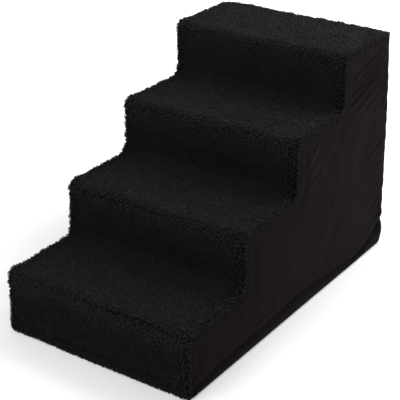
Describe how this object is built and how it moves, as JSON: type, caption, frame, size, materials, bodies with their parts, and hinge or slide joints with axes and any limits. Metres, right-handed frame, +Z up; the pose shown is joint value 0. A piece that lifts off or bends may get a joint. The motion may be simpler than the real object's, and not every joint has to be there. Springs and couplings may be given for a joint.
{
  "type": "pet stairs",
  "caption": "Four-step foam pet stairs in a black removable cover: curly plush treads and risers, smooth suede-look sides, a zip across the low back.",
  "frame": {"origin": "on the floor, at the middle of the box round the whole object", "axes": "+Y from the front of the bottom step towards the back, the way the steps climb; +X across the stairs, to the right of someone who faces the steps; +Z up"},
  "size_m": [0.44, 0.7748, 0.508],
  "materials": {
    "plush": "matte",
    "suede": "matte",
    "base_cloth": "matte",
    "foam": "matte",
    "zip_cloth": "matte",
    "zip_plastic": "satin",
    "zip_metal": "satin"
  },
  "bodies": {
    "stairs": {"foam_slab_1": "foam", "foam_slab_2": "foam", "foam_slab_3": "foam", "foam_slab_4": "foam", "step_panel": "plush", "side_panel_left": "suede", "side_panel_right": "suede", "back_panel": "suede", "back_strip": "suede", "base_panel": "base_cloth", "zip_tape_upper": "zip_cloth", "zip_tape_lower": "zip_cloth", "zip_teeth_upper": "zip_plastic", "zip_teeth_lower": "zip_plastic", "zip_top_stops": "zip_plastic", "zip_bottom_stop": "zip_plastic"},
    "slider": {"zip_slider": "zip_metal"},
    "pull": {"zip_pull": "zip_metal"}
  },
  "joints": [
    {"name": "zip_travel", "type": "slide", "parent": "stairs", "child": "slider", "axis": [1, 0, 0], "range_m": [0, 0.3612], "deforming": ["zip_teeth_upper", "zip_teeth_lower"]},
    {"name": "pull_swing", "type": "hinge", "parent": "slider", "child": "pull", "pos_m": [-0.1806, 0.3853, 0.038], "axis": [0, 0, 1], "range_deg": [0, 180]}
  ]
}
